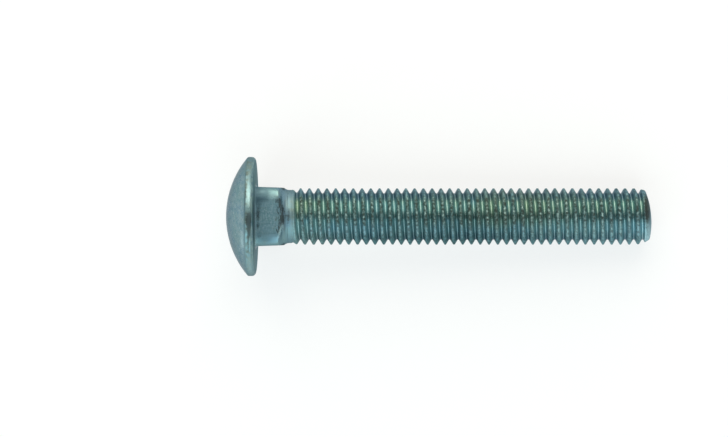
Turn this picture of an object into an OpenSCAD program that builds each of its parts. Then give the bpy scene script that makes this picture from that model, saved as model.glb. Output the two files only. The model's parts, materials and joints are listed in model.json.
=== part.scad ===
// Carriage bolt: a round domed head, a short square neck that bites into wood,
// and a shank that is threaded from the neck to its sheared end.
// One piece of steel, forged at the head end and thread-rolled along the rest.
// It lies as it comes to rest on a flat surface, on the rim of its head and on
// the last crests of its thread, with its head towards -X. The origin is the
// centre of the bearing face under the head.

/* [Head] */
// Diameter of the head across its rim
head_d = 26.6; // [24.5:0.1:28.5]
// Height of the head from the bearing face to the top of the dome
head_h = 6.6; // [5.2:0.1:8]
// Height of the straight band round the head, under the dome
rim_h = 1.7; // [1:0.1:2.6]
// Radius where the dome turns into the band
rim_crown_r = 0.3; // [0.1:0.05:0.45]
// Radius where the band turns into the bearing face
rim_seat_r = 0.4; // [0.1:0.05:0.5]

/* [Square neck] */
// Width of the neck across its flats, against the head
neck_w = 13.2; // [12.4:0.1:14.4]
// Length of the neck with its shoulder, from the bearing face to the plain shank
neck_len = 7.6; // [6.2:0.1:9]
// Angle by which each flat leans in towards the thread
neck_draft = 1.9; // [0:0.1:2.5]
// Radius of the neck's four corners
neck_corner_r = 2.3; // [0.8:0.1:3]
// Radius of the fillet between the neck and the bearing face
neck_fillet_r = 0.45; // [0.2:0.05:0.9]
// Angle of the forged shoulder that trims the flats, from the bolt's axis
shoulder_angle = 60; // [40:1:70]
// Radius of the hollow between the shoulder and the plain shank
shoulder_r = 1.8; // [0.8:0.1:2.6]

/* [Shank and thread] */
// Diameter of the plain shank between the neck and the thread
shank_d = 11.9; // [11.6:0.05:12.3]
// Length from the bearing face to the sheared end
bolt_len = 88.2; // [40:0.1:120]
// Length of plain shank between the shoulder's hollow and the thread
plain_len = 0.4; // [0.2:0.1:8]
// Outer diameter of the thread, over its crests
thread_d = 12.62; // [12.4:0.02:13.2]
// Distance from one crest to the next, 13 to the inch
thread_pitch = 1.954; // [1.5:0.002:2.4]
// Height of the crests above the roots
thread_depth = 1.18; // [0.8:0.02:1.3]
// Included angle between the two flanks of a groove
flank_angle = 60; // [50:1:60]
// Width of the flat on top of a crest
crest_flat = 0.24; // [0.12:0.02:0.3]
// Length along the axis over which the first crest rises out of the shank
run_in = 1.5; // [0.6:0.1:3]
// Turn about the axis at which that crest starts, from +Y
start_turn = 350; // [0:5:360]

/* [Sheared end] */
// Length over which the last crests are turned down
tip_taper_len = 3.2; // [1.5:0.1:5]
// Angle of that turning down, from the bolt's axis
tip_taper_angle = 14; // [6:1:30]
// Diameter of the end face
tip_d = 10.8; // [9:0.1:11.2]
// Angle of the bevel round the end face, from the bolt's axis
tip_bevel_angle = 33; // [20:1:60]
// Radius of the shallow dome that the shears left on the end
tip_dome_r = 18; // [14:0.5:60]
// Distance of that dome's centre from the axis, because the end is sheared askew
tip_skew = 1.2; // [0:0.1:1.8]

/* [Hidden] */

head_r = head_d / 2;
thread_r = thread_d / 2;
root_r = thread_r - thread_depth;
shank_r = shank_d / 2;
tip_r = tip_d / 2;

// Steps round the axis in a turn of thread, and in a quarter of a round corner
turn_steps = 24;
corner_steps = 5;
// Steps along the arc of the dome, and along a small rounded edge
dome_steps = 20;
edge_steps = 5;
$fn = 96;

// The part lies on the head's rim and on the last full crest of its thread, so
// its axis falls from the head towards the end by this angle
last_crest_z = bolt_len - tip_taper_len - thread_pitch / 2;
rest_tilt = atan((head_r - thread_r) / (last_crest_z + rim_seat_r));

// How far one round part runs on inside the next, so that they join
overlap = 0.05;
// How far a cutting outline reaches past the surface that it cuts
spare = 1;

// Points of an arc about [cx, cy], from angle a to angle b
function arc(cx, cy, r, a, b, steps) =
    [for (s = [0:steps]) let (t = a + (b - a) * s / steps) [cx + r * cos(t), cy + r * sin(t)]];

// The head's outline as [distance from the axis, height along it], from the
// middle of the dome round the rim to the bearing face. The rim and the dome
// meet in a small arc that touches both.
dome_sag = head_h - rim_h;
dome_r = (head_r * head_r + dome_sag * dome_sag) / (2 * dome_sag);
dome_z = dome_r - head_h;
crown_x = head_r - rim_crown_r;
crown_z = dome_z - sqrt(pow(dome_r - rim_crown_r, 2) - crown_x * crown_x);
crown_turn = atan2(crown_z - dome_z, crown_x);
head_outline = concat(
    arc(0, dome_z, dome_r, -90, crown_turn, dome_steps),
    arc(crown_x, crown_z, rim_crown_r, crown_turn, 0, edge_steps),
    arc(head_r - rim_seat_r, -rim_seat_r, rim_seat_r, 0, 90, edge_steps),
    [[0, 0]]
);

module head() rotate_extrude() polygon(head_outline);

// One ring of the neck: a square with round corners, at height z
function neck_ring(half_w, corner_r, z) =
    [for (q = [0:3], s = [0:corner_steps])
        let (turn = 90 * (q + s / corner_steps), mid = 90 * q + 45, run = (half_w - corner_r) * sqrt(2))
        [run * cos(mid) + corner_r * cos(turn), run * sin(mid) + corner_r * sin(turn), z]];

// The neck as a stack of rings: from inside the head, up the fillet's hollow
// curve, and along the leaning flats to past the shoulder that trims them away.
// The fillet's first facet runs straight on down into the head.
neck_top = neck_len + spare;
fillet_turns = [for (s = [1:edge_steps]) 90 * s / edge_steps];
function neck_half(z) = neck_w / 2 - z * tan(neck_draft);
function fillet_z(turn) = neck_fillet_r * (1 - cos(turn));
function fillet_out(turn) = neck_fillet_r * (1 - sin(turn));
first_turn = fillet_turns[0];
sunk = neck_fillet_r / 2;
sunk_out = (fillet_out(0) - fillet_out(first_turn)) / fillet_z(first_turn) * sunk;
neck_rings = concat(
    [neck_ring(neck_half(0) + fillet_out(0) + sunk_out, neck_corner_r + fillet_out(0) + sunk_out, -sunk)],
    [for (t = fillet_turns)
        neck_ring(neck_half(fillet_z(t)) + fillet_out(t), neck_corner_r + fillet_out(t), fillet_z(t))],
    [neck_ring(neck_half(neck_top), neck_corner_r, neck_top)]
);

// Two triangles that fill the face a, b, c, d
function quad(a, b, c, d) = [[a, b, c], [a, c, d]];

// A closed solid through a stack of rings that all have as many points
module loft(rings) {
    n = len(rings[0]);
    last = len(rings) - 1;
    polyhedron(
        points = [for (ring = rings, p = ring) p],
        faces = concat(
            [[for (i = [0:n - 1]) i]],
            [for (k = [0:last - 1], i = [0:n - 1]) let (j = (i + 1) % n, a = k * n, b = a + n)
                each quad(a + i, b + i, b + j, a + j)],
            [[for (i = [n - 1:-1:0]) last * n + i]]
        )
    );
}

// What the forging die leaves of the square: a shoulder that slopes in, and a
// hollow curve that runs out just inside the plain shank
hollow_x = shank_r + shoulder_r - overlap;
slope_x = hollow_x - shoulder_r * cos(shoulder_angle);
slope_z = neck_len - shoulder_r * sin(shoulder_angle);
clear_x = neck_w / sqrt(2);
clear_z = slope_z - (clear_x - slope_x) / tan(shoulder_angle);
shoulder_outline = concat(
    [[0, -rim_h], [clear_x, -rim_h], [clear_x, clear_z]],
    arc(hollow_x, neck_len, shoulder_r, 180 + shoulder_angle, 180, 2 * edge_steps),
    [[0, neck_len]]
);

module neck() intersection() {
    loft(neck_rings);
    rotate_extrude() polygon(shoulder_outline);
}

// The plain shank, from inside the head to the thread
thread_start = neck_len + plain_len;

module shank() translate([0, 0, -rim_h]) cylinder(r = shank_r, h = rim_h + thread_start);

// The thread is one surface on a grid that follows the helix. Each turn has
// four rows: the foot and the top of one flank, and the top and the foot of the
// other. A row is [place along the axis from the crest's middle, share of the
// full height].
flank_run = thread_depth * tan(flank_angle / 2);
rows = [
    [-crest_flat / 2 - flank_run, 0],
    [-crest_flat / 2, 1],
    [crest_flat / 2, 1],
    [crest_flat / 2 + flank_run, 0]
];
per_turn = len(rows);
turns = ceil((bolt_len + spare - thread_start) / thread_pitch) + 1;
row_count = per_turn * turns;

// The crest and the groove both grow out of the blank, which is a touch thinner
// than the shank. The grid starts half a turn early, inside the shank.
blank_r = shank_r - overlap;
turns_early = 0.5;
function rise(z) = min(1, max(0, (z - thread_start) / run_in));
function thread_point(i, m) =
    let (
        row = rows[m % per_turn],
        crest_z = thread_start + thread_pitch * (floor(m / per_turn) + i / turn_steps - turns_early),
        z = crest_z + row[0],
        r = blank_r + (root_r + thread_depth * row[1] - blank_r) * rise(z)
    ) rod_point(i, r, z);
function rod_point(i, r, z) =
    let (t = start_turn + 360 * (i / turn_steps - turns_early)) [-r * sin(t), r * cos(t), z];

// A full turn on, a row has become the row of the next turn, so the grid's last
// column joins its first one turn further along. That leaves one uneven face at
// each end, which the fans close.
module thread() {
    n = turn_steps;
    last = row_count - 1;
    sunk_z = neck_len / 2;
    end_z = thread_start + thread_pitch * (turns + 1);
    function at(i, m) = i < n ? i * row_count + m : m + per_turn;
    function foot(i) = n * row_count + i % n;
    function top(i) = n * row_count + n + i % n;
    polyhedron(
        points = concat(
            [for (i = [0:n - 1], m = [0:last]) thread_point(i, m)],
            [for (i = [0:n - 1]) rod_point(i, blank_r, sunk_z)],
            [for (i = [0:n - 1]) rod_point(i, root_r, end_z)]
        ),
        faces = concat(
            [for (i = [0:n - 1], m = [0:last - 1]) if (i < n - 1 || m < last - per_turn)
                each quad(at(i, m), at(i, m + 1), at(i + 1, m + 1), at(i + 1, m))],
            [for (i = [0:n - 2]) each quad(foot(i), at(i, 0), at(i + 1, 0), foot(i + 1))],
            [for (i = [0:n - 2]) each quad(at(i, last), top(i), top(i + 1), at(i + 1, last))],
            [[at(n - 1, 0), foot(0), foot(n - 1)], [at(n - 1, 0), at(0, 0), foot(0)]],
            [for (m = [0:per_turn - 1]) [at(n - 1, 0), at(0, m + 1), at(0, m)]],
            [[at(0, last), top(n - 1), top(0)], [at(0, last), at(n - 1, last), top(n - 1)]],
            [for (m = [0:per_turn - 1]) [at(0, last), at(n - 1, last - m - 1), at(n - 1, last - m)]],
            [[for (i = [0:n - 1]) foot(i)]],
            [[for (i = [n - 1:-1:0]) top(i)]]
        )
    );
}

// The end as it is turned down: the thread's outside tapers from taper_z to
// meet_z, where the bevel round the end face starts. The bevel passes the end
// face's own diameter at edge_z.
edge_z = bolt_len - tip_dome_r + sqrt(tip_dome_r * tip_dome_r - tip_r * tip_r);
taper_z = bolt_len - tip_taper_len;
meet_z = (thread_r - tip_r + taper_z * tan(tip_taper_angle) - edge_z * tan(tip_bevel_angle))
    / (tan(tip_taper_angle) - tan(tip_bevel_angle));
meet_r = thread_r - (meet_z - taper_z) * tan(tip_taper_angle);
end_outline = [
    [0, 0],
    [thread_r + spare, 0],
    [thread_r + spare, taper_z - spare / tan(tip_taper_angle)],
    [meet_r, meet_z],
    [tip_r - spare, edge_z + spare / tan(tip_bevel_angle)],
    [0, edge_z + spare / tan(tip_bevel_angle)]
];

// The shallow dome on the end face, with a rim that stays outside the thread
dome_reach = 30;
dome_outline = concat(
    [[0, 0], [tip_dome_r * sin(dome_reach), 0]],
    arc(0, bolt_len - tip_dome_r, tip_dome_r, 90 - dome_reach, 90, 2 * edge_steps)
);

module threaded_rod() intersection() {
    thread();
    rotate_extrude() polygon(end_outline);
    translate([0, -tip_skew, 0]) rotate_extrude() polygon(dome_outline);
}

module carriage_bolt() color("cadetblue") rotate([0, 90 + rest_tilt, 0]) {
    head();
    neck();
    shank();
    threaded_rod();
}

carriage_bolt();
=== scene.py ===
# %% [markdown]
# # A zinc plated carriage bolt
#
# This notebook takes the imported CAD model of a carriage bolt, gives it a finer
# skin and a plated steel finish, and sets it on a pale floor in soft studio
# light. A carriage bolt has a round domed head, a short square neck that stops
# it from turning in wood, and a thread that was rolled into the rest of its
# shank. The CAD solid stays the frame: everything made here has its sizes and
# its place, and only adds what a solid can't carry.

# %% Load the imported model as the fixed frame
import json

import bpy
import numpy as np
from mathutils import Matrix, Vector


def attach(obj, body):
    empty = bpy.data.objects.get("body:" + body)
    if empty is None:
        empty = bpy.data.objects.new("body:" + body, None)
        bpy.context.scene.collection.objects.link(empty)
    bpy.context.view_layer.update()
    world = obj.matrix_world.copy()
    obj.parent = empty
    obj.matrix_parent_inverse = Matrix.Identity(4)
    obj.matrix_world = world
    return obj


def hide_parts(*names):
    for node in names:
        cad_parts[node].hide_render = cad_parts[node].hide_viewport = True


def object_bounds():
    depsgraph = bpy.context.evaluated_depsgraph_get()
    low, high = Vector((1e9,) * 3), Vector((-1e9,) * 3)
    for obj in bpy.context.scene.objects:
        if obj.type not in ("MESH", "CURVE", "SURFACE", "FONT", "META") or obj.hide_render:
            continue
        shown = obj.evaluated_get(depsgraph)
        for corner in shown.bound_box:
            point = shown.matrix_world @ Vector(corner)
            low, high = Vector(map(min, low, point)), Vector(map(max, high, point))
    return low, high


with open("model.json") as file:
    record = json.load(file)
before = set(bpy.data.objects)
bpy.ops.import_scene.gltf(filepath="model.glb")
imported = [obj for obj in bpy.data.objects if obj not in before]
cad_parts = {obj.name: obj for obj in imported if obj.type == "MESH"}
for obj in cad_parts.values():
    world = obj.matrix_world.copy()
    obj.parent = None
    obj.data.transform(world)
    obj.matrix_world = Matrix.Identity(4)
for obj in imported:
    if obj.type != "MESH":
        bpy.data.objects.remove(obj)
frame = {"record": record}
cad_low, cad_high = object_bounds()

print("CAD box, mm:", [round(1000 * x, 2) for x in (*cad_low, *cad_high)])

# %% [markdown]
# ## The bolt's own directions
#
# The bolt lies on its head's rim and on its thread, so its axis falls a little
# from the head to the end. All its shapes are easier to write along that axis:
# a *station* is how far along it a point lies, measured from the bearing face
# under the head, a *radius* is how far from it, and a *turn* is the angle round
# it, from across the bolt (+Y) up towards the camera. The record's mount on the
# bearing face already holds the axis, so it is read from there.

# %% Directions and units
mounts = {m["name"]: m for m in frame["record"]["mounts"]}
along = np.array(mounts["bearing_face"]["axis"], float)
along /= np.linalg.norm(along)
across = np.array([0.0, 1.0, 0.0])
upward = np.cross(along, across)
mm = 0.001


def place(station, radius, turn):
    """Point = station along the axis + radius x (cos(turn) across + sin(turn) upward), in mm."""
    return (
        station[..., None] * along
        + (radius * np.cos(turn))[..., None] * across
        + (radius * np.sin(turn))[..., None] * upward
    )


print("axis falls", round(float(np.degrees(np.arcsin(-along[2]))), 2), "degrees")

# %% [markdown]
# ## Soft corners
#
# Nothing forged or rolled has a truly sharp edge. Where two surfaces meet, the
# smaller or the larger of two heights is taken, but with a formula that rounds
# the switch from one to the other over a chosen width. A second helper draws
# the plain arcs of the head's outline.


# %% Helpers for soft corners and arcs
def soft_max(a, b, width):
    """width x ln(exp(a / width) + exp(b / width)): the larger one, with the switch rounded."""
    return width * np.logaddexp(a / width, b / width)


def soft_min(a, b, width):
    """The smaller of two, with the switch rounded: minus the soft maximum of the two negatives."""
    return -soft_max(-a, -b, width)


def arc(radius_mid, station_mid, size, first, last, steps):
    """Points (radius, station) on a circle about its middle, between two angles in degrees."""
    a = np.radians(np.linspace(first, last, steps))
    return np.stack([radius_mid + size * np.cos(a), station_mid + size * np.sin(a)], axis=1)


columns = 144
turns = np.radians(270 + 360 * np.arange(columns) / columns)
print(columns, "columns, with the seam underneath")

# %% [markdown]
# ## The head
#
# The head is upset from the wire's end in a die: a shallow dome, a straight
# band and a flat bearing face, with small rounded edges between them. It is a
# profile carried round the axis, so one list of (radius, station) pairs
# describes it. The dome's outline is an arc that meets the band in a small
# rounded crown. It stops short of the axis by `pole_gap` degrees, and a fan
# closes it later.

# %% The head's outline
head_r, head_h, band_h = 13.28, 6.59, 1.7
crown_r, seat_r, pole_gap = 0.6, 0.8, 1.4
dome_r = (head_r**2 + (head_h - band_h) ** 2) / (2 * (head_h - band_h))
dome_mid = dome_r - head_h
crown_mid = dome_mid - np.sqrt((dome_r - crown_r) ** 2 - (head_r - crown_r) ** 2)
crown_turn = np.degrees(np.arctan2(crown_mid - dome_mid, head_r - crown_r))
head_outline = np.concatenate([
    arc(0, dome_mid, dome_r, pole_gap - 90, crown_turn, 30),
    arc(head_r - crown_r, crown_mid, crown_r, crown_turn, 0, 6)[1:],
    np.linspace([head_r, crown_mid], [head_r, -seat_r], 7)[1:],
    arc(head_r - seat_r, -seat_r, seat_r, 0, 90, 7)[1:],
])
head_radius = np.repeat(head_outline[:, :1], columns, axis=1)
head_station = np.repeat(head_outline[:, 1:], columns, axis=1)
print(len(head_outline), "rings in the head, dome radius", round(dome_r, 2), "mm")

# %% [markdown]
# ## The square neck
#
# The neck is a square with rounded corners that grows a little narrower towards
# the thread. A forging die leaves a sloping shoulder at its end, and where that
# shoulder, which is round, cuts the flat sides, each flat ends in a curve. That
# curve is the neck's most visible line, so the grid follows it: every column
# first finds the station of the curve, and its rows are spread up to it and on
# from it. The bearing face is a sheet between the head's round edge and the
# neck's square foot, and a small fillet joins the two.


# %% Formulas for the neck
neck_half, neck_draft, neck_corner, fillet_r = 6.6, np.tan(np.radians(1.9)), 2.3, 0.45
shank_r, hollow_r, hollow_sink, neck_end = 5.95, 1.8, 0.05, 7.6
cone_lean = np.radians(60)
hollow_mid = shank_r + hollow_r - hollow_sink
slope = np.tan(cone_lean)
slope_radius = hollow_mid - hollow_r * np.cos(cone_lean)
slope_station = neck_end - hollow_r * np.sin(cone_lean)


def folded(turn):
    """The turn folded into an eighth: 0 at the middle of a flat, pi / 4 at a corner."""
    return np.abs((turn + np.pi / 4) % (np.pi / 2) - np.pi / 4)


def square_radius(turn, half, corner):
    """On a flat, half / cos(folded turn); on a corner, where the ray meets the corner's circle."""
    fold = folded(turn)
    run, off = (half - corner) * np.sqrt(2), np.pi / 4 - fold
    rounded = run * np.cos(off) + np.sqrt(np.maximum(corner**2 - (run * np.sin(off)) ** 2, 0))
    return np.where(half * np.tan(fold) <= half - corner, half / np.cos(fold), rounded)


def neck_radius(turn, station):
    """The square's radius where its half width has shrunk by the draft."""
    return square_radius(turn, neck_half - station * neck_draft, neck_corner)


def shoulder_radius(station):
    """A cone, and past slope_station a hollow arc that runs out just inside the shank."""
    cone = slope_radius + (slope_station - station) * slope
    deep = np.sqrt(np.maximum(hollow_r**2 - (neck_end - station) ** 2, 0))
    return np.where(station < slope_station, cone, hollow_mid - deep)


def shoulder_station(radius):
    """The same shoulder the other way round: the station at which it has this radius."""
    cone = slope_station - (radius - slope_radius) / slope
    deep = np.sqrt(np.maximum(hollow_r**2 - (hollow_mid - radius) ** 2, 0))
    return np.where(radius > slope_radius, cone, neck_end - deep)


trim_guess, trim_rounds = 6.0, 12
trim = np.full(columns, trim_guess)
for _ in range(trim_rounds):
    trim = shoulder_station(neck_radius(turns, trim))
print("flats end", trim.min().round(2), "to", trim.max().round(2), "mm from the bearing face")

# %% Rows of the bearing face, the fillet, the flats and the shoulder
foot = square_radius(turns, neck_half + fillet_r, neck_corner + fillet_r)
share = np.linspace(0, 1, 10)[1:, None]
face_radius = (head_r - seat_r) * (1 - share) + foot * share
face_station = np.zeros_like(face_radius)

swing = np.radians(np.linspace(0, 90, 7))[1:, None]
fillet_station = fillet_r * (1 - np.cos(swing)) + 0 * turns
fillet_out = fillet_r * (1 - np.sin(swing))
fillet_radius = square_radius(
    turns, neck_half - fillet_station * neck_draft + fillet_out, neck_corner + fillet_out
)

edge_zone, neck_stop, trim_soft, foot_soft, flat_steps = 0.12, 7.3, 0.03, 0.02, 15
share = np.linspace(0, 1, flat_steps)[1:, None]
flat_station = fillet_r + (trim - edge_zone - fillet_r) * share
edge_station = trim + edge_zone * np.array([-0.5, 0, 0.5, 1])[:, None]
shoulder_rows = trim + edge_zone + (neck_stop - trim - edge_zone) * share
neck_station = np.concatenate([flat_station, edge_station, shoulder_rows])
neck_radii = soft_min(neck_radius(turns, neck_station), shoulder_radius(neck_station), trim_soft)
neck_radii = soft_max(neck_radii, shank_r, foot_soft)
neck_rows = len(fillet_station) + len(neck_station)
print(len(face_station), "rows on the bearing face and", neck_rows, "on the neck")

# %% [markdown]
# ## The rolled thread
#
# Thread rolling presses the blank between two dies, so metal is pushed out of
# the grooves into the crests. The surface is a function of the station and the
# turn: the distance beside the nearest crest gives the height, as a flank of 60
# degrees between a flat crest and a rounded root. The rows of the grid run
# along the helix, so that crests and roots are clean lines whatever the
# spacing, and `row_offsets` says how far beside the crest each of a turn's rows
# lies. After one turn a row has become the row of the next turn, which is why
# the last column joins the first one a whole turn further on. Towards the
# sheared end the rows are spread evenly. Before the thread's start the rows of
# two more turns are squeezed together. The first of them lie 0.025 mm inside
# the neck's last ring and begin up to 0.4 mm before it, which leaves a hairline
# step there.

# %% Formulas for the thread and the sheared end
pitch, crest_r, root_r, crest_flat = 1.954, 6.305, 5.13, 0.32
thread_start, run_in, blank_r, start_turn = 8.0, 1.5, 5.93, 350
bolt_len, taper_at, bevel_r, end_dome_r, end_skew = 88.19, 85.0, 5.4, 18.0, 1.2
flank_lean, taper_lean, bevel_lean = np.tan(np.radians([30, 14, 33]))
root_soft, crest_soft, bevel_soft, cap_soft = 0.085, 0.05, 0.04, 0.03
bevel_at = bolt_len - end_dome_r + np.sqrt(end_dome_r**2 - bevel_r**2)


def beside_crest(station, turn):
    """Distance along the axis to the nearest crest, whose station grows by a pitch each turn."""
    off = station - thread_start - pitch * (turn - np.radians(start_turn)) / (2 * np.pi)
    return off - pitch * np.round(off / pitch)


def thread_radius(station, turn):
    """Crest, flank or root by the distance beside the crest.

    It grows out of the blank over run_in, and the end's taper and bevel cap it.
    """
    beside = np.abs(beside_crest(station, turn))
    flank = crest_r + (crest_flat / 2 - beside) / flank_lean
    form = soft_min(soft_max(flank, root_r, root_soft), crest_r, crest_soft)
    rise = np.clip((station - thread_start) / run_in, 0, 1)
    taper = crest_r - (station - taper_at) * taper_lean
    bevel = bevel_r + (bevel_at - station) * bevel_lean
    cap = soft_min(taper, bevel, bevel_soft)
    return soft_min(blank_r + (form - blank_r) * rise, cap, cap_soft)


def end_station(radius, turn):
    """The sheared end: a sphere whose middle lies end_skew off the axis."""
    beside, above = radius * np.cos(turn) + end_skew, radius * np.sin(turn)
    return bolt_len - end_dome_r + np.sqrt(end_dome_r**2 - beside**2 - above**2)


edge_guess, edge_rounds = 87.3, 30
rim_station = np.full(columns, edge_guess)
for _ in range(edge_rounds):
    edge = end_station(thread_radius(rim_station, turns), turns)
    rim_station = 0.5 * rim_station + 0.5 * edge
rim_radius = thread_radius(rim_station, turns)
print("the end's edge lies at", rim_station.min().round(2), "to", rim_station.max().round(2), "mm")

# %% Rows along the helix
row_offsets = np.array([-0.86, -0.74, -0.49, -0.18, -0.1, 0, 0.1, 0.18, 0.49, 0.74, 0.86, 0.977])
per_turn, crest_row = len(row_offsets), 5
grid_from, squeeze, spare_turns, even_over = 7.95, 0.15, 2, 2.0
end_from, end_side, end_cap, edge_soft, fan_share = 86.4, 1.8, 2 * pitch, 0.08, 0.1
first_turn = int(np.floor((grid_from - thread_start) / pitch)) - spare_turns
last_turn = int(np.ceil((end_from + end_side + end_cap - thread_start) / pitch))
turn_count = last_turn - first_turn
row_turn = np.repeat(np.arange(first_turn, last_turn), per_turn)
row_offset = np.tile(row_offsets, turn_count)
even_offset = np.tile((np.arange(per_turn) - crest_row) * pitch / per_turn, turn_count)
whole_turns = row_turn[:, None] + (turns - np.radians(start_turn)) / (2 * np.pi)
helix = thread_start + pitch * whole_turns
near_end = np.clip((helix - end_from) / even_over + 1, 0, 1)
helix = helix + row_offset[:, None] * (1 - near_end) + even_offset[:, None] * near_end
helix = np.where(helix < grid_from, grid_from + (helix - grid_from) * squeeze, helix)


def end_path(helix):
    """Past end_from, one number runs down the side to the edge and on over the end.

    Its root-like warp packs rows at the edge, and a soft maximum rounds the edge.
    """
    past = helix - end_from - end_side
    warped = past * np.sqrt(np.abs(past) / np.where(past < 0, end_side, end_cap))
    side = -soft_max(-warped, 0 * warped, edge_soft)
    over = soft_max(warped, 0 * warped, edge_soft)
    down_side = rim_station + (rim_station - end_from) / end_side * side
    inwards = 1 - (1 - fan_share) * np.minimum(over / end_cap, 1)
    return np.where(helix < end_from, helix, down_side), np.where(helix < end_from, 1, inwards)


station, keep = end_path(helix)
in_reach = helix.max(axis=1) < end_from + end_side + end_cap
print("rows before the end is cut to reach:", len(helix), "kept:", int(in_reach.sum()))
station, keep, row_turn, row_offset = (
    values[in_reach] for values in (station, keep, row_turn, row_offset)
)
thread_r = thread_radius(station, turns) - rim_radius * (1 - keep)
thread_s = station + end_station(rim_radius * keep, turns) - end_station(rim_radius, turns)

# %% [markdown]
# ## Marks of the making
#
# The rolled crests close up along a fine seam, and they are the first to be
# knocked when bolts are tumbled and plated together. Both follow the helix, so
# their random numbers run along it too: one number per column and turn,
# smoothed with its neighbours into a slow wave and a fine one. Every mark goes
# inwards, so the bolt keeps its size.

# %% Seams and knocks on the crests
chance = np.random.default_rng(13)


def smoothed(values, width):
    """Each value becomes the mean of its neighbours, weighted by a cosine bell of this width."""
    bell = 1 + np.cos(np.linspace(-np.pi, np.pi, width + 2)[1:-1])
    return np.convolve(values, bell / bell.sum(), mode="same")


steps, wave_width, fine_width = columns * turn_count, 21, 5
wave = smoothed(chance.normal(size=steps), wave_width)
fine = smoothed(chance.normal(size=steps), fine_width)
wave, fine = wave / wave.std(), fine / fine.std()
at = (row_turn[:, None] - first_turn) * columns + np.arange(columns)
knock_width, seam_width, light_mark, deep_mark = 0.16, 0.05, 0.008, 0.02
full_thread = thread_s > thread_start + 1
on_side = keep > 0.999
on_crest = np.exp(-((row_offset / knock_width) ** 2))[:, None] * full_thread
on_seam = np.exp(-((row_offset / seam_width) ** 2))[:, None] * full_thread
knock = light_mark * np.clip(wave[at] + 1, 0, 4) + deep_mark * np.clip(fine[at] - 0.8, 0, 3)
split = light_mark + deep_mark * np.clip(fine[at] + wave[at], 0, 1.5)
crest_marks = on_crest * knock + on_seam * split
thread_r = thread_r - crest_marks * on_side
print("deepest crest mark", round(float(crest_marks.max()), 3), "mm")

# %% [markdown]
# ## One closed skin
#
# All rows are now stacked: the rings of the head, the face and the neck, then
# the rows of the thread. Rings join straight to each other. The helical rows
# join with their shift of one turn, which leaves one uneven wedge at each end
# of the thread, and a fan of triangles fills it. A fan also closes the middle
# of the dome and of the sheared end.

# %% Stack the rows
ring_radius = np.concatenate([head_radius, face_radius, fillet_radius, neck_radii])
ring_station = np.concatenate([head_station, face_station, fillet_station, neck_station])
points = np.concatenate([
    place(ring_station, ring_radius, turns).reshape(-1, 3),
    place(thread_s, thread_r, turns).reshape(-1, 3),
])
rings, rows = len(ring_radius), len(thread_r)
dome_pole, end_pole = len(points), len(points) + 1
end_middle = end_station(np.zeros(1), np.zeros(1))
points = np.concatenate([
    points,
    place(np.array([-head_h]), np.zeros(1), np.zeros(1)),
    place(end_middle, np.zeros(1), np.zeros(1)),
])
print(rings, "rings and", rows, "helical rows,", len(points), "points")


# %% Join them with faces
def grid(a, b, c, d):
    """Four arrays of point numbers, one for each corner, as faces that face outwards."""
    return np.stack([x.ravel() for x in (d, c, b, a)], axis=1)


col = np.arange(columns)
ring = np.arange(rings)[:, None] * columns
nxt = (col + 1) % columns
quads = [grid(ring[:-1] + col, ring[1:] + col, ring[1:] + nxt, ring[:-1] + nxt)]

base = rings * columns
row = base + np.arange(rows)[:, None] * columns
last = columns - 1
quads.append(grid(row[:-1] + col[:-1], row[1:] + col[:-1], row[1:] + col[1:], row[:-1] + col[1:]))
low, high = row[: -per_turn - 1, 0], row[per_turn:-1, 0]
quads.append(grid(low + last, low + columns + last, high + columns, high))
quads.append(grid(ring[-1] + col[:-1], row[0] + col[:-1], row[0] + col[1:], ring[-1] + col[1:]))

start = row[: per_turn + 1, 0]
stop = row[-per_turn - 1:, 0] + last
fans = [
    np.stack([np.full(columns, dome_pole), ring[0] + col, ring[0] + nxt], axis=1),
    np.array([[ring[-1, 0] + last, row[0, 0] + last, ring[-1, 0]]]),
    np.array([[row[0, 0] + last, row[0, 0], ring[-1, 0]]]),
    np.stack([np.full(per_turn, row[0, 0] + last), start[1:], start[:-1]], axis=1),
    np.stack([np.full(per_turn, row[-1, 0]), stop[:-1], stop[1:]], axis=1),
    np.stack([np.full(last, end_pole), row[-1] + col[1:], row[-1] + col[:-1]], axis=1),
    np.array([[end_pole, row[-1, 0], row[-1, 0] + last]]),
]
faces = np.concatenate(quads).tolist() + np.concatenate(fans)[:, ::-1].tolist()

mesh = bpy.data.meshes.new("carriage_bolt_skin")
mesh.from_pydata((points * mm).tolist(), [], faces)
mesh.polygons.foreach_set("use_smooth", np.ones(len(mesh.polygons), bool))
mesh.update()
skin = bpy.data.objects.new("carriage_bolt_skin", mesh)
bpy.context.scene.collection.objects.link(skin)
print(len(mesh.polygons), "faces")


# %% Check that the skin is closed and faces outwards
def volume_of(mesh):
    """A sixth of the sum of a . (b x c) over the triangles: positive if they face outwards."""
    mesh.calc_loop_triangles()
    corners = np.zeros((len(mesh.loop_triangles), 3), np.int32)
    mesh.loop_triangles.foreach_get("vertices", corners.ravel())
    places = np.zeros((len(mesh.vertices), 3))
    mesh.vertices.foreach_get("co", places.ravel())
    a, b, c = (places[corners[:, k]] for k in range(3))
    return float((a * np.cross(b, c)).sum() / 6)


edge_use = np.zeros(len(mesh.edges), int)
loop_edges = np.zeros(len(mesh.loops), np.int32)
mesh.loops.foreach_get("edge_index", loop_edges)
np.add.at(edge_use, loop_edges, 1)
print("volume", round(volume_of(mesh) / mm**3, 1), "mm3")
print(len(mesh.loop_triangles), "triangles,", int((edge_use != 2).sum()), "open edges")
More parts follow.
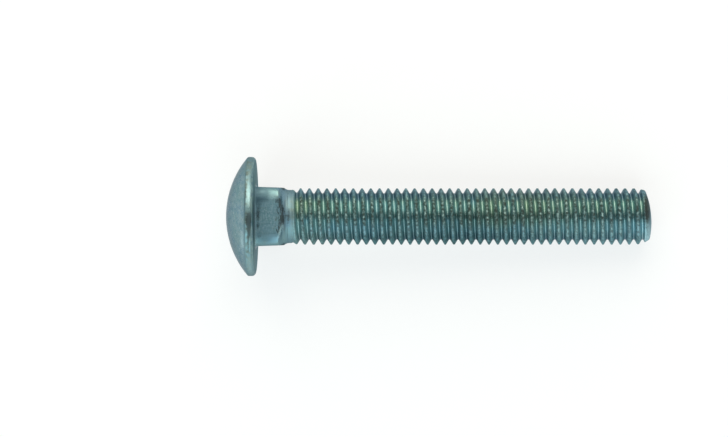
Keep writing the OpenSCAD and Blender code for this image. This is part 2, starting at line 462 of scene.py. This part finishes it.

# %% [markdown]
# ## Where the finish differs
#
# Plating is one finish, but it doesn't look the same all over. The crests are
# rubbed and specked, the neck's flats are scored by the die, and dark residue
# sits along edges and in corners. Other marks are painted light: painted
# highlights in the roots, just below the top of the thread and on edges of the
# head and neck, and painted shade in the crease, on the bearing face, along the
# top and on both sides of the thread. Each of these is a mask: one number from 0
# to 1 at every point of the skin, worked out from the same stations and turns as
# the shape, so that it stays in its place on the bolt whatever the view.


# %% Helpers for masks
def bump_at(value, middle, reach):
    """exp(-((value - middle) / reach) squared): 1 at the middle, fading to both sides."""
    return np.exp(-(((value - middle) / reach) ** 2))


def ease(value, low, high):
    """0 below low, 1 above high, and an S-shaped rise between them."""
    x = np.clip((value - low) / (high - low), 0, 1)
    return x * x * (3 - 2 * x)


all_station = np.concatenate([ring_station.ravel(), thread_s.ravel(), [-head_h, end_middle[0]]])
all_radius = np.concatenate([ring_radius.ravel(), thread_r.ravel(), [0, 0]])
all_turn = np.concatenate([np.tile(turns, rings + rows), [0, 0]])
on_thread = np.concatenate([np.zeros(rings * columns), on_side.ravel() * 1.0, [0, 0]])


def facing(turn, low, high):
    """Cosine of the angle between each point's turn and this one, eased from low to high."""
    return ease(np.cos(all_turn - np.radians(turn)), low, high)


def smudge(station, turn, length, width):
    """exp(-(distance along / length) squared - (distance round / width) squared)."""
    off = (all_turn - np.radians(turn) + np.pi) % (2 * np.pi) - np.pi
    return np.exp(-(((all_station - station) / length) ** 2) - (off * all_radius / width) ** 2)


def smudges(places):
    """The sum of the soft spots in a list, each times its strength."""
    return sum(strength * smudge(*place_and_size) for *place_and_size, strength in places)


print(len(all_station), "points carry the masks")

# %% [markdown]
# ### Spots placed one by one
#
# Plating residue, grime and small knocks follow no rule, so they are placed
# where the photo shows them, and so are painted highlights and painted shade: a
# painted dark reflection on the band, painted shade and a painted highlight on
# the sheared end, and painted highlights on the band, the neck's corner and along
# the shoulder. Each is a soft spot: its station in mm, its turn in degrees, its
# length along the bolt, its width round it, and its strength. The sides that the
# photo doesn't show get a few of their own.

# %% Residue and painted shade, dull places, painted highlights and soiled places
spots = {
    "residue_and_shade": [
        (0.8, 86, 0.6, 1.5, 0.9), (0.8, 108, 0.5, 0.9, 0.7), (1.0, 124, 0.7, 0.6, 0.6),
        (2.6, 60, 1.6, 0.6, 0.35), (1.2, 70, 0.9, 0.8, 0.4), (7.6, 82, 0.35, 1.3, 0.5),
        (7.5, 100, 0.5, 1.8, 0.55), (2, 175, 0.8, 1.5, 0.6), (1.5, 262, 0.8, 1.8, 0.8),
        # The spot at 93 degrees on the band is a painted dark reflection.
        (4.5, 310, 1.2, 1.0, 0.5), (-0.85, 93, 0.6, 1.6, 1.7), (-0.75, 104, 0.35, 1.8, 1.1),
        (-1.05, 118, 0.22, 3.4, 0.9), (-0.3, 76, 0.2, 2.5, 0.5), (-1.6, 70, 0.18, 3.4, 0.8),
        (-0.2, 60, 0.2, 4, 0.5), (-2.2, 93, 0.5, 0.5, 0.4), (-1.7, 44, 0.2, 1.2, 0.6),
        (-0.7, 215, 0.3, 3, 0.8), (-1.2, 300, 0.3, 3.5, 0.7), (-4.8, 200, 0.8, 1.0, 0.4),
        # The three spots at 86.7 to 87.0 mm are painted shade on the top of the sheared end.
        (86.9, 60, 0.8, 4.2, 0.78), (86.7, 88, 0.6, 1.6, 0.35), (87.0, 70, 0.7, 3.0, 0.5),
    ],
    "dull": [
        (2.0, 51, 1.3, 1.6, 1.5), (0.3, 52, 1.0, 2.4, 1.3), (4.2, 56, 1.1, 1.2, 0.55),
        (2.5, 129, 2.6, 1.4, 1.0), (3.0, 232, 1.8, 1.4, 0.8), (1.8, 318, 1.4, 1.4, 0.9),
        (-0.8, 132, 0.8, 5.0, 0.3), (-0.8, 20, 0.9, 5.0, 0.8),
    ],
    # Painted highlights: on the neck's upper corner, along the shoulder, on the band and the
    # head's edge, and on the lower side of the sheared end.
    "painted_highlight": [
        (4.05, 57, 0.8, 0.6, 0.5), (1.9, 48, 0.6, 0.3, 0.5), (3.5, 222, 1.0, 0.8, 0.8),
        (6.3, 108, 0.25, 0.5, 0.7), (6.05, 113, 0.25, 0.5, 0.9), (5.8, 118, 0.25, 0.5, 0.9),
        (5.5, 123, 0.25, 0.5, 0.9), (-0.85, 70, 0.7, 3.0, 0.4), (-0.9, 155, 0.8, 4.0, 0.4),
        (-2.4, 117, 0.35, 2.2, 0.8), (87.0, 146, 0.9, 2.8, 1.4),
    ],
    "soiled": [
        (-0.8, 142, 0.8, 7.0, 1.3), (-0.9, 33, 0.7, 5.0, 1.0), (-1.0, 250, 0.6, 5.0, 0.7),
        (2.6, 133, 0.5, 0.5, 0.7), (7.0, 60, 0.5, 1.2, 0.5), (8.35, 82, 0.5, 4.5, 0.9),
        (8.4, 250, 0.5, 4.0, 0.7), (86.6, 140, 0.5, 1.5, 0.6), (87.0, 60, 1.1, 4.5, 0.5),
    ],
}
masks = {kind: smudges(places) for kind, places in spots.items()}
for kind, places in spots.items():
    print(len(places), "spots of the kind", kind)

# %% [markdown]
# ### Masks that follow the shape
#
# The rest follows the shape. On the head and the neck these are the dome, the
# band and its edges, the bearing face, the fillet, the flats, and the crease
# where the shoulder trims them. The hollow end of the shoulder, the thread's
# first turn and the sheared end share one mask, since all three are duller.

# %% Masks of the head and the neck
off_thread, on_head = 1 - on_thread, all_station < 0.2
fold, column_fold = folded(all_turn), folded(turns)
trim_at = np.interp(fold, np.sort(column_fold), trim[np.argsort(column_fold)])
half = neck_half - all_station * neck_draft
from_corner = half - neck_corner - half * np.tan(fold)
on_flat = off_thread * ease(all_station, 0.1, 0.5) * (all_station < 7.4)
on_flat = on_flat * ease(from_corner, -0.25, 0.45)
from_rim = all_radius - head_r
near_crown = bump_at(np.hypot(from_rim, all_station - crown_mid), 0, 0.3)
near_seat = bump_at(np.hypot(from_rim, all_station + seat_r / 2), 0, 0.35)
at_foot = off_thread * (all_radius < 8.6) * (all_station > 0.005)
masks |= {
    "dome": ease(-all_station, 1.6, 2.4),
    "dome_top": ease(-all_station, 3.2, 6.2),
    "band": on_head * ease(all_radius, 12.9, 13.2),
    "edge": on_head * np.maximum(near_crown, 0.5 * near_seat),
    "seat_line": bump_at(np.hypot(from_rim + 0.25, all_station + 0.25), 0, 0.3),
    "face": bump_at(all_station, 0, 0.12) * (all_radius > 7.4) * (all_radius < 12.8),
    "fillet": at_foot * bump_at(all_station, 0.16, 0.14),
    "flat": on_flat * ease(trim_at - all_station, 0.1, 0.7),
    # the crease gets painted shade at the end of each flat
    "crease": on_flat * bump_at(all_station, trim_at - 0.2, 0.6),
    "comb": on_flat * bump_at(all_station, trim_at - 0.6, 1.1),
    "hollow": off_thread * ease(all_station, 6.2, 7.2) + on_thread * ease(-all_station, -9, -8.2),
}
print("a flat ends at", trim_at.max().round(2), "mm in its middle")

# %% [markdown]
# ### Masks of the thread
#
# Crest, flank and root each have a mask. Others paint light round the bolt:
# painted highlights in the roots on the upper side and just below the top,
# painted shade on the crests along the top and a painted dark reflection there,
# and painted shade in the roots below and on both sides, bluer on the far one.
# Along the bolt the thread is olive near the shank and past the middle, and its
# lower half is lighter towards both ends and darker between them, and darker
# along the top towards the end. The painted highlight of the roots lies a little
# towards the bolt's end.

# %% Masks of crest, flank and root
root_shift = 0.12
beside = beside_crest(all_station, all_turn)
grown = on_thread * ease(all_station, thread_start + 0.3, thread_start + 1.3)
off_root = beside % pitch - pitch / 2 - root_shift
in_root = grown * bump_at(off_root, 0, 0.4)
masks |= {
    "crest": grown * bump_at(beside, 0, 0.3),
    "specked": grown * bump_at(beside, 0, 0.42),
    "flank": grown * ease(np.abs(off_root), 0.2, 0.5),
    # painted highlight in the roots, on the upper side
    "root": in_root * facing(60, -0.1, 0.5),
    # painted shade in the roots on the lower side
    "root_below_shade": in_root * facing(180, 0.1, 0.4),
    # the top of the bolt, where the crests get painted shade and most specks lie
    "on_top": grown * facing(76, 0.8, 0.95),
    # painted highlight just below the top of the thread
    "highlight_below_top": grown * bump_at(beside, -0.1, 0.45) * facing(118, 0.75, 0.95),
    # painted dark reflection along the top of the thread
    "dark_reflection_on_top": grown * bump_at(beside, -0.36, 0.28) * facing(93, 0.95, 0.99),
    # painted shade on the far and near sides of the thread
    "far_side_shade": grown * facing(0, 0.62, 0.85),
    "near_side_shade": grown * facing(180, 0.55, 0.8),
}
print(round(100 * float(grown.mean())), "% of the points are on the full thread")

# %% Masks along the bolt, and all masks written to the skin
lower_half, along_top = facing(150, 0.1, 0.6), facing(84, 0.9, 0.98)
pale_at, pale_there = [8, 15, 24, 48, 62, 76, 88], [0.75, 0.4, 0.05, 0, 0.35, 0.7, 1]
deep_at, deep_there = [16, 30, 46, 58, 66], [0, 0.5, 1, 0.5, 0]
pale_along = np.interp(all_station, pale_at, pale_there)
deep_along = np.interp(all_station, deep_at, deep_there)
deep_on_top = np.interp(all_station, [45, 85], [0, 0.9])
by_shank = bump_at(all_station, 10, 8) * facing(120, 0, 0.5)
past_middle = bump_at(all_station, 57, 14) * facing(66, 0.5, 0.8)
masks |= {
    "pale": grown * lower_half * pale_along,
    "deep": grown * (lower_half * deep_along + along_top * deep_on_top),
    "olive": grown * (by_shank + past_middle),
}
for name, values in masks.items():
    layer = mesh.attributes.new(name, "FLOAT", "POINT")
    layer.data.foreach_set("value", np.clip(values, 0, 1).astype(np.float32))
    print("mask", name, "covers", round(100 * float((values > 0.5).mean()), 1), "% of the points")

# %% [markdown]
# ## The plating
#
# Zinc under a thin blue chromate film is a metal, so its colour is the colour
# of what it mirrors, tinted by the film. The film's thickness drifts, and the
# tint with it, from blue over teal to a pale violet. The Principled shader at
# full Metallic gives the tinted mirror, Roughness says how much that mirror is
# blurred, and Specular Tint takes some light away at grazing angles, where a
# film is duller than bare metal. All the patterns are noises in the bolt's own
# directions, counted in cells to the millimetre.

# %% Helpers for shader nodes
steel = bpy.data.materials.new("zinc_plated_steel")
steel.use_nodes = True
steel_tree = steel.node_tree
shader = steel_tree.nodes["Principled BSDF"]


def add(kind, sockets, **settings):
    """Adds a node with its settings. Each socket gets a number, or a link from an output."""
    made = steel_tree.nodes.new("ShaderNode" + kind)
    for name, value in settings.items():
        setattr(made, name, value)
    for name, value in sockets.items():
        if isinstance(value, bpy.types.NodeSocket):
            steel_tree.links.new(value, made.inputs[name])
        else:
            made.inputs[name].default_value = value
    return made


def times(a, b):
    """a x b."""
    return add("Math", {0: a, 1: b}, operation="MULTIPLY").outputs[0]


def plus(total, *others):
    """The sum of all the values."""
    for other in others:
        total = add("Math", {0: total, 1: other}, operation="ADD").outputs[0]
    return total


def mask(name, amount=1.0):
    """The named mask times an amount, which may be a pattern."""
    return times(add("Attribute", {}, attribute_name=name).outputs["Fac"], amount)


def tint(share, first, second):
    """first + share x (second - first), for colours."""
    first, second = ((*c, 1) if isinstance(c, tuple) else c for c in (first, second))
    return add("Mix", {0: share, 6: first, 7: second}, data_type="RGBA").outputs[2]


def coated(plate, coats):
    """Lays the coats over the plate in turn: tint(share, plate, colour) for each."""
    for share, colour in coats.values():
        plate = tint(share, plate, colour)
    print("painted:", ", ".join(coats))
    return plate


def spread(value, low, high, top=1.0):
    """A smooth step: 0 where the pattern is at low, and top where it is at high."""
    sockets = {"Value": value, "From Min": low, "From Max": high, "To Max": top}
    return add("MapRange", sockets, interpolation_type="SMOOTHSTEP").outputs["Result"]


# %% Patterns in the bolt's own directions, in mm
lean = float(np.arcsin(-along[2]))
space = add("TexCoord", {}).outputs["Object"]


def pattern(scale, along_scale=1.0, detail=2.0):
    """Noise with scale cells to the mm, squeezed along the bolt by along_scale."""
    turned = add("Mapping", {"Vector": space, "Rotation": (0, -lean, 0)}, vector_type="POINT")
    in_mm = {0: turned.outputs[0], 1: (along_scale / mm, 1 / mm, 1 / mm)}
    sized = add("VectorMath", in_mm, operation="MULTIPLY").outputs[0]
    return add("TexNoise", {"Vector": sized, "Scale": scale, "Detail": detail}).outputs[0]


clouds, patches, grain = pattern(0.22, detail=3), pattern(0.9, detail=3), pattern(3.2)
drift = spread(pattern(0.07, detail=2), 0.42, 0.58)
scores, hatch = pattern(2.2, along_scale=0.08, detail=3), pattern(0.9, along_scale=4)
knocks, grime = pattern(1.9, along_scale=0.9, detail=1), pattern(1.9, along_scale=1.2, detail=3)
ragged = plus(times(patches, 0.6), times(grain, 0.9))
print("patterns turned back by", round(float(np.degrees(lean)), 2), "degrees")

# %% [markdown]
# ### Colours of the head and the neck
#
# The plate starts as blue and teal clouds, and every later colour is a coat on
# top: a share of the plate, which a mask or a pattern gives, takes its colour.
# Greener patches come first. The dome, which was tumbled smooth, is paler with
# a breath of violet. The flats of the neck slid along the die, so they are
# darker, with fine scores along the bolt and a mottle across it.

# %% The plate, the dome and the neck
plate = tint(spread(clouds, 0.35, 0.6), (0.175, 0.29, 0.35), (0.185, 0.315, 0.33))
dome_clouds = spread(plus(patches, clouds), 1.0, 1.2, 0.5)
mottle = spread(plus(hatch, grain), 0.95, 1.2, 0.38)
plate = coated(plate, {
    "greener patches": (spread(patches, 0.5, 0.75, 0.5), (0.22, 0.32, 0.28)),
    "violet top": (mask("dome_top", spread(patches, 0.42, 0.6, 0.6)), (0.25, 0.29, 0.38)),
    "pale dome": (mask("dome", spread(patches, 0.35, 0.65)), (0.26, 0.375, 0.405)),
    "clouds on the dome": (mask("dome", dome_clouds), (0.2, 0.32, 0.32)),
    "bright specks there": (mask("dome", spread(knocks, 0.38, 0.3, 0.35)), (0.5, 0.6, 0.62)),
    "dark specks there": (mask("dome", spread(grime, 0.58, 0.68, 0.4)), (0.13, 0.19, 0.2)),
    "band": (mask("band", 0.6), (0.175, 0.295, 0.315)),
    "shoulder": (mask("hollow", 0.48), (0.14, 0.225, 0.27)),
    "fillet": (mask("fillet", 0.25), (0.5, 0.66, 0.66)),
    "flats": (mask("flat", 0.72), (0.125, 0.225, 0.27)),
    "scores": (mask("flat", spread(scores, 0.48, 0.68, 0.3)), (0.07, 0.14, 0.17)),
    "mottle": (mask("flat", mottle), (0.3, 0.43, 0.48)),
    "grain": (spread(grain, 0.45, 0.75, 0.2), (0.3, 0.42, 0.43)),
})

# %% [markdown]
# ### Colours of the thread
#
# The two flanks of a groove mirror each other, so light reaches the eye after
# several bounces and takes the film's tint each time: they look deep and
# saturated, and their colour is painted with that bounced light. The crests are
# what other bolts touch, with dark specks of grime and bright ones of bare zinc,
# most of them on top, and fewer below, and along the top they get brownish
# painted shade. The painted highlights in the roots and below the top drift with
# a slow noise, from yellowish green to blue. The specks lie on top of the film,
# so they are painted last.

# %% The roots, the flanks, the crests and their specks
flank, crest = mask("flank"), mask("crest")
# the painted highlight colour in the roots
root_highlight_film = tint(drift, (0.32, 0.43, 0.35), (0.28, 0.43, 0.43))
highlight_film_below_top = tint(drift, (0.36, 0.5, 0.49), (0.29, 0.49, 0.6))
grimy = times(spread(grime, 0.56, 0.66, 0.6), spread(clouds, 0.3, 0.55))
dark_specks = times(spread(knocks, 0.51, 0.58), plus(mask("on_top", 0.4), 0.55))
bright_specks = times(spread(knocks, 0.41, 0.35), plus(mask("on_top", 0.4), 0.24))
plate = coated(plate, {
    "roots": (mask("root", 0.75), root_highlight_film),
    # the flanks' colour is painted with light bounced between them
    "flanks": (times(flank, 0.65), (0.185, 0.4, 0.4)),
    "grime on them": (times(flank, grimy), (0.11, 0.125, 0.09)),
    # painted highlight just below the top, with brown and dark grain in it
    "pale line": (mask("highlight_below_top", 0.6), highlight_film_below_top),
    "brown in it": (mask("highlight_below_top", spread(grain, 0.51, 0.62, 0.45)), (0.34, 0.36, 0.29)),
    "dark in it": (mask("highlight_below_top", spread(grain, 0.46, 0.38, 0.45)), (0.11, 0.16, 0.15)),
    # painted shade in the roots below
    "roots below": (mask("root_below_shade", 0.65), (0.14, 0.21, 0.24)),
    # painted dark reflection along the top
    "dark line": (mask("dark_reflection_on_top", 0.5), (0.07, 0.15, 0.16)),
    # painted shade on the crests along the top
    "crests shaded on top": (times(crest, mask("on_top", 0.8)), (0.16, 0.235, 0.215)),
    # painted shade on both sides, bluer on the far one
    "far side": (mask("far_side_shade", 0.55), (0.13, 0.22, 0.31)),
    "near side": (mask("near_side_shade", plus(times(crest, 0.6), 0.2)), (0.085, 0.2, 0.22)),
    "olive": (mask("olive", spread(clouds, 0.3, 0.5, 0.35)), (0.26, 0.32, 0.22)),
    "pale": (mask("pale", 0.4), (0.32, 0.5, 0.57)),
    "deep": (mask("deep", 0.25), (0.05, 0.1, 0.11)),
    "dark specks": (mask("specked", dark_specks), (0.065, 0.085, 0.075)),
    "bright specks": (mask("specked", bright_specks), (0.5, 0.64, 0.61)),
})

# %% [markdown]
# ### Residue, painted shade and painted highlights on top of the plate
#
# Grime has ragged edges. So the mask of residue and painted shade is not painted
# as it is: it is added to a noise, and only what rises over a threshold is
# painted. The crease at the end of each flat gets the most, as painted shade
# broken into strokes across the bolt. A painted highlight runs along the rim,
# beside the bearing face, and the bearing face gets painted shade.

# %% Edges, residue and painted shade, dull places, painted highlights and soiled places
edge_dirt = mask("edge", spread(patches, 0.4, 0.65))
strokes = mask("comb", spread(hatch, 0.46, 0.58))
# residue plus painted shade: in the crease, on the band and on the end's top
dark_residue_and_shade = spread(plus(mask("residue_and_shade"), mask("crease", 0.85), strokes, ragged), 1.0, 1.75)
plate = coated(plate, {
    "edges": (times(edge_dirt, 0.6), (0.12, 0.13, 0.1)),
    # dark residue and painted shade
    "residue_and_shade": (times(dark_residue_and_shade, 0.9), (0.045, 0.058, 0.062)),
    "dull": (mask("dull", 0.8), (0.145, 0.245, 0.295)),
    "soiled": (mask("soiled", spread(ragged, 0.55, 0.85, 0.6)), (0.215, 0.25, 0.21)),
    # painted highlights
    "painted_highlight": (mask("painted_highlight", spread(ragged, 0.45, 0.85)), (0.42, 0.61, 0.65)),
    # painted shade on the bearing face under the head
    "bearing face": (mask("face", 0.3), (0.07, 0.17, 0.155)),
    # painted highlight along the rounded edge of the rim
    "painted highlight on the rim": (mask("seat_line", spread(patches, 0.4, 0.6, 0.6)), (0.34, 0.5, 0.47)),
})
steel_tree.links.new(plate, shader.inputs["Base Color"])

# %% [markdown]
# ### Roughness and relief
#
# A plated part is satin rather than bright. The dome and the roots are the
# smoothest, and whatever was rubbed, scored or soiled is rougher. The relief is
# a bump of a few hundredths of a millimetre: scores on the flats, a fine grain
# all over, and the knocks on the crests.

# %% Roughness and relief of the plate
satin = 0.29
matte = plus(
    satin, mask("flat", 0.24), times(flank, 0.24), times(crest, 0.22), mask("hollow", 0.22),
    times(plus(grain, -0.5), 0.3), times(plus(edge_dirt, dark_residue_and_shade), 0.2),
    mask("face", 0.2), mask("band", 0.07), mask("dull", 0.4),
)
steel_tree.links.new(matte, shader.inputs["Roughness"])
shader.inputs["Metallic"].default_value = 1
shader.inputs["Specular Tint"].default_value = (0.46, 0.5, 0.54, 1)

relief = plus(
    mask("flat", times(scores, 2.0)), times(grain, 0.6), times(patches, 1.5),
    times(crest, times(knocks, 6)),
)
raised = add("Bump", {"Strength": 1.0, "Distance": 0.02 * mm, "Height": relief})
steel_tree.links.new(raised.outputs["Normal"], shader.inputs["Normal"])
mesh.materials.append(steel)
print(len(steel_tree.nodes), "nodes in the plating")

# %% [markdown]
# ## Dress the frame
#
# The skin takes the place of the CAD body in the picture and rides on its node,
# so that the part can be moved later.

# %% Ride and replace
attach(skin, "root")
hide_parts("carriage_bolt")
print("skin rides on root")

# %% [markdown]
# ## The floor
#
# The photo is cut out on white, so the floor is a plain white sheet at the
# height of the bolt's lowest point. Seven tenths of what the camera and the
# metal see of it is an even white glow, and three tenths the sheet itself as it
# is lit, which carries the bolt's soft shadow. Other light meets plain matt
# paper only, so the sheet doesn't act as a lamp.


# %% A white sheet
def matt(name, shade):
    """A matt material of one grey, from 0 for black to 1 for white."""
    made = bpy.data.materials.new(name)
    made.use_nodes = True
    surface = made.node_tree.nodes["Principled BSDF"].inputs
    surface["Base Color"].default_value = (shade, shade, shade, 1)
    surface["Roughness"].default_value = 1
    return made


middle, glow_share = 0.04, 0.7
bpy.ops.mesh.primitive_plane_add(size=6, location=(middle, 0, cad_low.z))
floor = bpy.context.object
floor.name = "floor"
paper = matt("white_paper", 0.93)
floor.data.materials.append(paper)
sheet = paper.node_tree.nodes
sheet["Principled BSDF"].inputs["Specular IOR Level"].default_value = 0
print("floor at", round(1000 * cad_low.z, 2), "mm")

# %% Its even glow
white, blend = sheet.new("ShaderNodeEmission"), sheet.new("ShaderNodeMixShader")
white.inputs["Strength"].default_value = 1
ray = sheet.new("ShaderNodeLightPath")
seen, seen_too, glow = (sheet.new("ShaderNodeMath") for _ in range(3))
seen.operation = seen_too.operation = "MAXIMUM"
glow.operation, glow.inputs[1].default_value = "MULTIPLY", glow_share
wire = paper.node_tree.links.new
wire(ray.outputs["Is Camera Ray"], seen.inputs[0])
wire(ray.outputs["Is Glossy Ray"], seen.inputs[1])
wire(seen.outputs[0], seen_too.inputs[0])
wire(ray.outputs["Is Transmission Ray"], seen_too.inputs[1])
wire(seen_too.outputs[0], glow.inputs[0])
wire(glow.outputs[0], blend.inputs["Fac"])
wire(sheet["Principled BSDF"].outputs[0], blend.inputs[1])
wire(white.outputs[0], blend.inputs[2])
wire(blend.outputs[0], sheet["Material Output"].inputs["Surface"])
print(len(sheet), "nodes in the paper")

# %% [markdown]
# ## The lights
#
# Metal shows its lights more than its own colour, so each highlight in the
# photo tells of a lamp. The bright streak in every root and on the head's band
# comes from a warm box on the far side, about 54 degrees off the vertical, and
# painted highlights in the plating widen it. A wider, weaker box around it
# softens its ends. A cool box on the near side lights the lower half. A grey card
# above the camera gives the dark line along the top, which a painted dark
# reflection in the plating deepens, and the even grey of the room fills the
# rest.


# %% Soft boxes
def softbox(name, direction, distance, size, radiance, colour):
    """A rectangular lamp aimed at the bolt. Its power is radiance x pi x area."""
    lamp = bpy.data.lights.new(name, "AREA")
    lamp.shape, (lamp.size, lamp.size_y) = "RECTANGLE", size
    lamp.energy = radiance * np.pi * size[0] * size[1]
    lamp.color = colour
    stand = bpy.data.objects.new(name, lamp)
    bpy.context.scene.collection.objects.link(stand)
    aim = Vector(direction).normalized()
    stand.location = Vector((middle, 0, 0)) + distance * aim
    stand.rotation_mode = "QUATERNION"
    stand.rotation_quaternion = aim.to_track_quat("Z", "Y")
    stand.visible_camera = False
    print(name, "gives", round(lamp.energy, 2), "W")


softbox("key_wide", (0, 0.766, 0.643), 0.8, (1.2, 1.2), radiance=0.55, colour=(1, 0.94, 0.8))
softbox("key_core", (0, 0.81, 0.586), 0.75, (0.8, 0.9), radiance=1.9, colour=(1, 0.92, 0.77))
softbox("fill", (-0.15, -0.75, 0.65), 0.8, (1.4, 1.3), radiance=1.4, colour=(0.78, 0.98, 1))

# %% The room and the grey card
room = bpy.data.worlds.new("studio")
bpy.context.scene.world = room
room.use_nodes = True
backdrop = room.node_tree.nodes["Background"].inputs
backdrop["Color"].default_value = (0.42, 0.45, 0.46, 1)
backdrop["Strength"].default_value = 1

card_height = 0.75
bpy.ops.mesh.primitive_plane_add(size=1, location=(middle, 0, card_height))
card = bpy.context.object
card.name = "grey_card"
card.scale = (0.9, 0.42, 1)
card.data.materials.append(matt("grey_card", 0.09))
print("card", [round(float(x), 2) for x in card.scale[:2]], "m, above the camera")

# %% [markdown]
# ## The camera
#
# The photo looks square onto the bolt's axis from above, with a long lens. The
# camera therefore takes the bolt's own directions: `along` is its right,
# `across` is its up, and it stands back along `upward`. Its distance was found
# from how far the head's rim hides the bearing face behind it. The lens and the
# shift of the picture are written in pixels of the photo, and the camera's
# place in mm.

# %% The camera
camera_data = bpy.data.cameras.new("camera")
camera = bpy.data.objects.new("camera", camera_data)
bpy.context.scene.collection.objects.link(camera)
picture_width, focal_length, picture_shift = 728, 2900, -48
station_at, stand_off, aside = 34.84, 646.7, -0.45
camera_data.sensor_width = 36
camera_data.lens = camera_data.sensor_width * focal_length / picture_width
camera_data.shift_x = picture_shift / picture_width
stand_at = station_at * along + stand_off * upward + aside * across
stance = np.stack([along, across, upward, stand_at * mm], axis=1)
camera.matrix_world = Matrix([*stance.tolist(), [0, 0, 0, 1]])
bpy.context.scene.camera = camera
bpy.context.scene.view_settings.view_transform = "Standard"
print("camera", round(float(stand_at[2])), "mm above, lens", round(camera_data.lens, 1), "mm")
